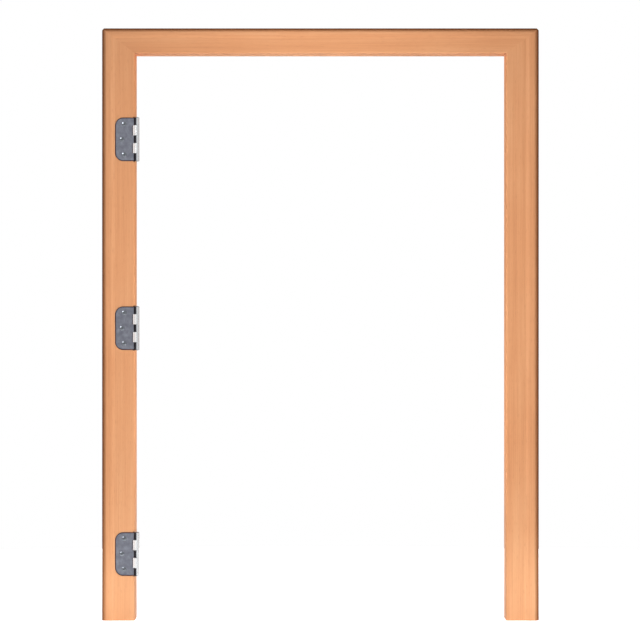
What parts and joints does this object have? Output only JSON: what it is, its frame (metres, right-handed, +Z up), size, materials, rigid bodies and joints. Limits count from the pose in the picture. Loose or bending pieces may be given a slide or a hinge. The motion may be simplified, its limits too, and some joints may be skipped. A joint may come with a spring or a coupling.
{
  "type": "wooden door frame",
  "caption": "Three-sided wooden door frame with a moulded face, mitred corners and butt hinges let into its left jamb.",
  "frame": {"origin": "on the floor, at the middle of the part's width and of its whole depth, hinge barrels included", "axes": "+Z up the jambs, -Y out of the moulded face that carries the hinges, +X towards the jamb without hinges"},
  "size_m": [0.9, 0.101, 1.22],
  "materials": {
    "lacquered_pine": "satin clear lacquer on fine straight grain",
    "beech_dowel": "bare turned wood",
    "hinge_steel": "dark zinc plate, worn bright on the barrel",
    "bright_steel": "bright zinc plate"
  },
  "bodies": {
    "frame": {"hinge_jamb": "lacquered_pine", "strike_jamb": "lacquered_pine", "head_rail": "lacquered_pine", "left_corner_dowels": "beech_dowel", "right_corner_dowels": "beech_dowel", "top_jamb_leaf": "hinge_steel", "top_hinge_pin": "bright_steel", "top_hinge_screws": "bright_steel", "middle_jamb_leaf": "hinge_steel", "middle_hinge_pin": "bright_steel", "middle_hinge_screws": "bright_steel", "bottom_jamb_leaf": "hinge_steel", "bottom_hinge_pin": "bright_steel", "bottom_hinge_screws": "bright_steel"},
    "top_leaf": {"top_door_leaf": "hinge_steel"},
    "middle_leaf": {"middle_door_leaf": "hinge_steel"},
    "bottom_leaf": {"bottom_door_leaf": "hinge_steel"}
  },
  "joints": [
    {"name": "top_leaf_swing", "type": "hinge", "parent": "frame", "child": "top_leaf", "pos_m": [-0.378, -0.0455, 0.991], "axis": [0, 0, -1], "range_deg": [0, 270]},
    {"name": "middle_leaf_swing", "type": "hinge", "parent": "frame", "child": "middle_leaf", "pos_m": [-0.378, -0.0455, 0.602], "axis": [0, 0, -1], "range_deg": [0, 270]},
    {"name": "bottom_leaf_swing", "type": "hinge", "parent": "frame", "child": "bottom_leaf", "pos_m": [-0.378, -0.0455, 0.137], "axis": [0, 0, -1], "range_deg": [0, 270]}
  ]
}
